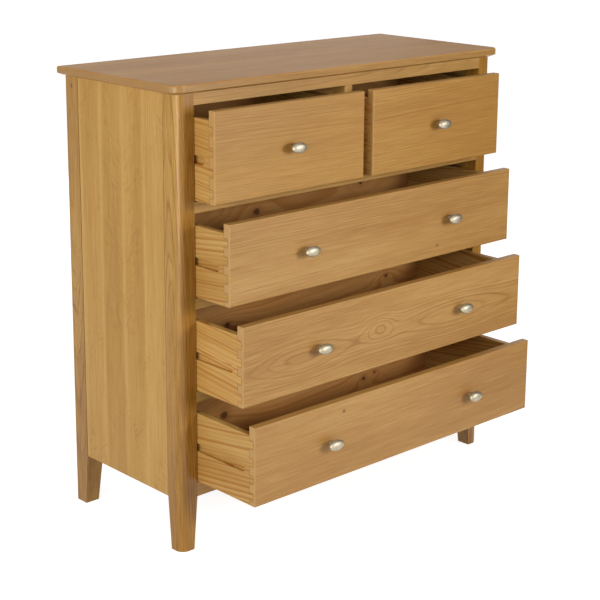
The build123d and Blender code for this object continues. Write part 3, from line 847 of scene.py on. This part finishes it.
def smooth_through(values, way):
    """Values on a Catmull-Rom curve through the given ones, at places counted along them."""
    first = np.clip(way.astype(int), 0, len(values) - 2)
    t = (way - first)[:, None]
    near = [values[np.clip(first + step, 0, len(values) - 1)] for step in (-1, 0, 1, 2)]
    return 0.5 * (
        2 * near[1]
        + (near[2] - near[0]) * t
        + (2 * near[0] - 5 * near[1] + 4 * near[2] - near[3]) * t**2
        + (3 * near[1] - near[0] - 3 * near[2] + near[3]) * t**3
    )


# Knob: half width, half height and half depth of its head, the middle of the head in front of the drawer,
# and the fullness of its section, where 2 is an ellipse and more is squarer
KNOB_HALF = (0.020, 0.0115, 0.009)
KNOB_MIDDLE = 0.019
KNOB_FULLNESS = 2.35

# Stem from the drawer front outwards: depth, half width and half height
STEM_STATIONS = np.array(
    [
        (0.0000, 0.0043, 0.0043),
        (0.0004, 0.0045, 0.0045),
        (0.0030, 0.0044, 0.0043),
        (0.0058, 0.0042, 0.0040),
        (0.0080, 0.0046, 0.0042),
        (0.0095, 0.0062, 0.0048),
    ]
)

# Angle at which the head's sections start, past the stem, and how many there are
HEAD_START = 0.36
HEAD_SECTIONS = 20


def knob_stations():
    """Sections of a knob from the drawer front to its tip: the stem's, then those of a full oval head.

    With s from nothing to half a turn, the head's depth goes as -cos(s) and its section as sin(s), both
    to the power of 2 over the fullness.
    """
    s = np.linspace(HEAD_START, np.pi, HEAD_SECTIONS)
    power = 2 / KNOB_FULLNESS
    depth = KNOB_MIDDLE - KNOB_HALF[2] * np.sign(np.cos(s)) * np.abs(np.cos(s)) ** power
    section = np.abs(np.sin(s)) ** power
    head = np.stack([depth, KNOB_HALF[0] * section, KNOB_HALF[1] * section], axis=1)
    return np.vstack([STEM_STATIONS, head])


def grid_faces(rows, columns, closed=False):
    """Four corners of each face of a grid of points, row by row.

    A closed grid joins its last column to its first.
    """
    steps = columns if closed else columns - 1
    row, column = np.meshgrid(np.arange(rows - 1), np.arange(steps), indexing="ij")
    across = (column + 1) % columns
    near, far = row * columns, (row + 1) * columns
    return np.stack([near + column, near + across, far + across, far + column], axis=2).reshape(-1, 4)


def knob_surface(centre_x, centre_z, face_y, rows=96, columns=72):
    """Oval pebble on a waisted stem.

    The two parameters are the way along the stations and the angle round the knob. At each station
    the section is an ellipse, x = a cos(angle) and z = b sin(angle), set depth in front of the face.
    """
    stations = knob_stations()
    depth, wide, high = smooth_through(stations, np.linspace(0, len(stations) - 1, rows)).T
    depth = np.clip(depth, 0.0, KNOB_MIDDLE + KNOB_HALF[2])
    wide = np.clip(wide, 0.0, KNOB_HALF[0])
    high = np.clip(high, 0.0, KNOB_HALF[1])
    angle = np.linspace(0, 2 * np.pi, columns, endpoint=False)
    x = centre_x + wide[:-1, None] * np.cos(angle)
    z = centre_z + high[:-1, None] * np.sin(angle)
    y = face_y - np.repeat(depth[:-1, None], columns, axis=1)
    points = np.stack([x, y, z], axis=2).reshape(-1, 3)
    tip = np.array([[centre_x, face_y - depth[-1], centre_z]])
    last = (rows - 2) * columns + np.arange(columns)
    cap = np.stack([last, np.roll(last, -1), np.full(columns, len(points))], axis=1)
    faces = grid_faces(rows - 1, columns, closed=True).tolist() + cap.tolist()
    return np.vstack([points, tip]), faces


def make_piece(name, points, faces, material):
    """Smooth mesh object at the origin, with its place in its vertices."""
    mesh = bpy.data.meshes.new(name)
    mesh.from_pydata(points.tolist(), [], faces)
    mesh.update()
    mesh.polygons.foreach_set("use_smooth", np.ones(len(mesh.polygons), dtype=bool))
    mesh.materials.append(material)
    piece = bpy.data.objects.new(name, mesh)
    bpy.context.scene.collection.objects.link(piece)
    return piece


def fit_knobs(nickel):
    """One knob in the middle of each small drawer front, two on each wide one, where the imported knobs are."""
    for drawer in FRONTS:
        node = f"{drawer}_knobs" if f"{drawer}_knobs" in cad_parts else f"{drawer}_knob"
        low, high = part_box(node)
        inset = KNOB_HALF[0]
        pair = [(low.x + inset, "left"), (high.x - inset, "right")]
        ends = pair if node.endswith("s") else [((low.x + high.x) / 2, "middle")]
        for x, side in ends:
            points, faces = knob_surface(x, (low.z + high.z) / 2, high.y)
            knob = make_piece(f"{drawer}_{side}_pebble_knob", points, faces, nickel)
            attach(knob, drawer)
            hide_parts(node)


def finish_screws(steel):
    """Bright zinc on every screw."""
    for name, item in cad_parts.items():
        if name.endswith("screws"):
            item.data.materials.clear()
            item.data.materials.append(steel)


def looked_at(w):
    """One for a ray from the camera, a reflection or a see-through piece, nothing for light on the object."""
    rays = w.node("ShaderNodeLightPath").outputs
    bent = w.maths("MAXIMUM", rays["Is Glossy Ray"], rays["Is Transmission Ray"])
    return w.maths("MAXIMUM", rays["Is Camera Ray"], bent)


# Floor: radii of its rings, points in a ring, height just under the feet, greys by the noise, and its glow
FLOOR_RINGS = np.geomspace(0.5, 40.0, 24)
FLOOR_SPOKES = 64
FLOOR_LEVEL = -0.0004
FLOOR_GREYS = ((0.3, 0.59), (0.7, 0.61))
FLOOR_GLOW = 0.80


def lay_floor():
    """Wide pale floor: rings of points out from under the chest, x = r cos(angle) and y = r sin(angle)."""
    angle = np.linspace(0, 2 * np.pi, FLOOR_SPOKES, endpoint=False)
    x = FLOOR_RINGS[:, None] * np.cos(angle)
    y = FLOOR_RINGS[:, None] * np.sin(angle)
    points = np.stack([x, y, np.full_like(x, FLOOR_LEVEL)], axis=2).reshape(-1, 3)
    points = np.vstack([points, [[0.0, 0.0, FLOOR_LEVEL]]])
    first = np.arange(FLOOR_SPOKES)
    cap = np.stack([np.full(FLOOR_SPOKES, len(points) - 1), first, np.roll(first, -1)], axis=1)
    quads = grid_faces(len(FLOOR_RINGS), FLOOR_SPOKES, closed=True)[:, ::-1]
    material = bpy.data.materials.new("pale_floor")
    material.use_nodes = True
    material.node_tree.nodes.clear()
    w = Wiring(material.node_tree)
    paper = w.node("ShaderNodeBsdfDiffuse")
    speck = w.noise(w.node("ShaderNodeTexCoord").outputs["Object"], (3.0, 3.0, 3.0), 2.0).outputs[0]
    greys = [(place, (grey, grey, grey, 1.0)) for place, grey in FLOOR_GREYS]
    w.feed(paper.inputs["Color"], w.ramp(speck, *greys))
    glow = w.node("ShaderNodeEmission")
    w.feed(glow.inputs["Strength"], w.maths("MULTIPLY", looked_at(w), FLOOR_GLOW))
    both = w.node("ShaderNodeAddShader")
    w.feed(both.inputs[0], paper.outputs[0])
    w.feed(both.inputs[1], glow.outputs[0])
    w.feed(w.node("ShaderNodeOutputMaterial").inputs["Surface"], both.outputs[0])
    make_piece("pale_floor", points, quads.tolist() + cap.tolist(), material)


# Points along each side of a card, how far it bows, and its roughness
CARD_POINTS = 25
CARD_BOW = 0.06
CARD_ROUGHNESS = 0.9


def hang_card(name, start, end, height, colour, glow=0.0):
    """Upright card on the floor that only reflections meet, and that shines by its glow.

    The two parameters are the way from one foot of the card to the other and the height. It bows
    towards the chest: with t from -1 to 1 along it, by 1 - t squared.
    """
    spread = np.linspace(0.0, 1.0, CARD_POINTS)
    way, up = np.meshgrid(spread, height * spread, indexing="ij")
    along = np.subtract(end, start)
    facing = np.array([-along[1], along[0]]) / np.hypot(*along)
    bow = CARD_BOW * (1.0 - (2.0 * way - 1.0) ** 2)
    x, y = (start[axis] + along[axis] * way + facing[axis] * bow for axis in (0, 1))
    points = np.stack([x, y, up], axis=2).reshape(-1, 3)
    quads = grid_faces(CARD_POINTS, CARD_POINTS)
    material, _, shader, _ = new_material(name)
    shader.inputs["Base Color"].default_value = shade(*colour)
    shader.inputs["Roughness"].default_value = CARD_ROUGHNESS
    shader.inputs["Emission Color"].default_value = shade(*colour)
    shader.inputs["Emission Strength"].default_value = glow
    card = make_piece(name, points, quads.tolist(), material)
    card.visible_camera = card.visible_diffuse = card.visible_shadow = card.visible_transmission = False


def soft_box(name, place, aim, size, power, spread):
    """Rectangular studio lamp that faces its aim and spreads its light by an angle in degrees."""
    lamp = bpy.data.lights.new(name, "AREA")
    lamp.shape = "RECTANGLE"
    lamp.size, lamp.size_y = size
    lamp.energy = power
    lamp.spread = math.radians(spread)
    item = bpy.data.objects.new(name, lamp)
    item.location = place
    item.rotation_euler = (Vector(aim) - Vector(place)).to_track_quat("-Z", "Y").to_euler()
    bpy.context.scene.collection.objects.link(item)


# Lamps: name, place, aim, width and height, power in watts, spread in degrees
LAMPS = (
    ("low_front_lamp", (1.10, -2.95, 0.95), (-0.5, -0.15, 0.40), (1.2, 0.6), 8.5, 105.0),
    ("high_front_lamp", (1.00, -2.95, 1.52), (-0.5, 0.10, 0.35), (1.2, 0.4), 12.0, 105.0),
    ("left_lamp", (-3.2, -0.55, 1.35), (-0.4, 0.0, 0.80), (1.0, 1.3), 34.0, 180.0),
    ("camera_lamp", (-3.40, -2.30, 1.50), (0.0, -0.1, 0.45), (1.2, 0.6), 26.0, 180.0),
    ("rear_lamp", (2.2, 3.0, 0.92), (0.0, 0.1, 0.5), (1.8, 0.7), 20.0, 180.0),
)

# Strength of the room as light on the object, and as the background that is seen
ROOM_LIGHT = 0.39
ROOM_SEEN = 1.0


def light_studio():
    """White room that lights softly, and the lamps in front, at the left, left of the camera and behind."""
    world = bpy.data.worlds.new("white_room")
    bpy.context.scene.world = world
    world.use_nodes = True
    world.node_tree.nodes.clear()
    w = Wiring(world.node_tree)
    both = w.node("ShaderNodeMixShader")
    w.feed(both.inputs[0], looked_at(w))
    for socket, strength in zip(both.inputs[1:], (ROOM_LIGHT, ROOM_SEEN)):
        room = w.node("ShaderNodeBackground")
        room.inputs["Color"].default_value = (1.0, 1.0, 1.0, 1.0)
        room.inputs["Strength"].default_value = strength
        w.feed(socket, room.outputs[0])
    w.feed(w.node("ShaderNodeOutputWorld").inputs["Surface"], both.outputs[0])
    for lamp in LAMPS:
        soft_box(*lamp)


# Camera: focal length and sensor width in millimetres, shift of the lens, place, and turn in degrees
LENS = 90.0
SENSOR = 36.0
LENS_SHIFT = -0.13
CAMERA_PLACE = (-2.2891, -2.4011, 1.4268)
CAMERA_TURN = (76.522, -0.382, -42.779)


def set_camera():
    """Camera at the photograph's angle, for a square picture."""
    lens = bpy.data.cameras.new("camera")
    lens.lens = LENS
    lens.sensor_width = SENSOR
    lens.shift_y = LENS_SHIFT
    camera = bpy.data.objects.new("camera", lens)
    camera.location = CAMERA_PLACE
    camera.rotation_euler = tuple(math.radians(angle) for angle in CAMERA_TURN)
    bpy.context.scene.collection.objects.link(camera)
    bpy.context.scene.camera = camera


finish_fronts()
finish_carcass()
finish_boxes()
fit_knobs(metal("satin_nickel", (178, 169, 148), (164, 154, 132), 0.41))
finish_screws(metal("zinc_steel", (176, 176, 174), (150, 148, 144), 0.30))
lay_floor()
# Cards that only reflections meet: the dark one gives painted dark reflections at the right of the knobs and
# fronts, and the glowing one paints a highlight on the rounded corners of the legs and the top
hang_card("dark_card", (1.15, -1.9), (1.15, -0.1), 3.4, (52, 48, 42))
hang_card("bright_card", (-2.47, -1.20), (-1.87, -1.94), 0.8, (255, 250, 240), 9.0)
light_studio()
set_camera()
bpy.context.scene.view_settings.view_transform = "Standard"
